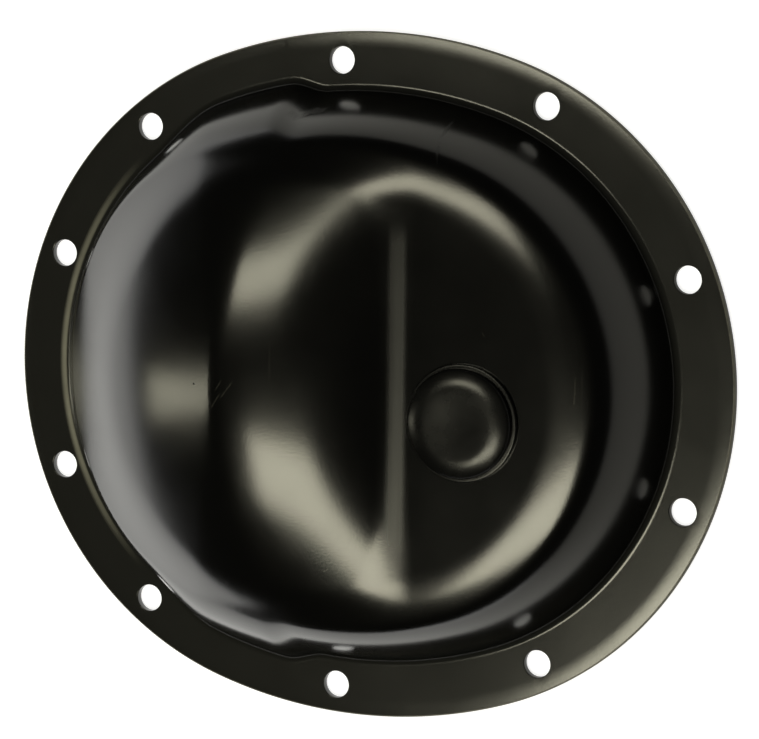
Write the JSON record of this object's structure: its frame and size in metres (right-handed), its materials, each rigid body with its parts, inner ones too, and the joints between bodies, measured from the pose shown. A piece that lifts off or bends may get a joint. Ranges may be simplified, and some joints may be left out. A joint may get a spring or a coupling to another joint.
{
  "type": "differential cover",
  "caption": "Pressed steel differential cover with a flat bolting flange, a domed ring gear bulge and a push-in rubber filler plug.",
  "frame": {"origin": "middle of the flange outline, on the sealing face that meets the axle housing", "axes": "+Z out of the cover, away from the housing; +X along the longer side of the flange, towards the filler plug; +Y across the flange"},
  "size_m": [0.2724, 0.2412, 0.0595],
  "materials": {
    "black_paint": "satin black paint with fine orange peel",
    "black_rubber": "smooth moulded rubber"
  },
  "bodies": {
    "root": {"cover_shell": "black_paint", "fill_plug": "black_rubber"}
  },
  "joints": []
}
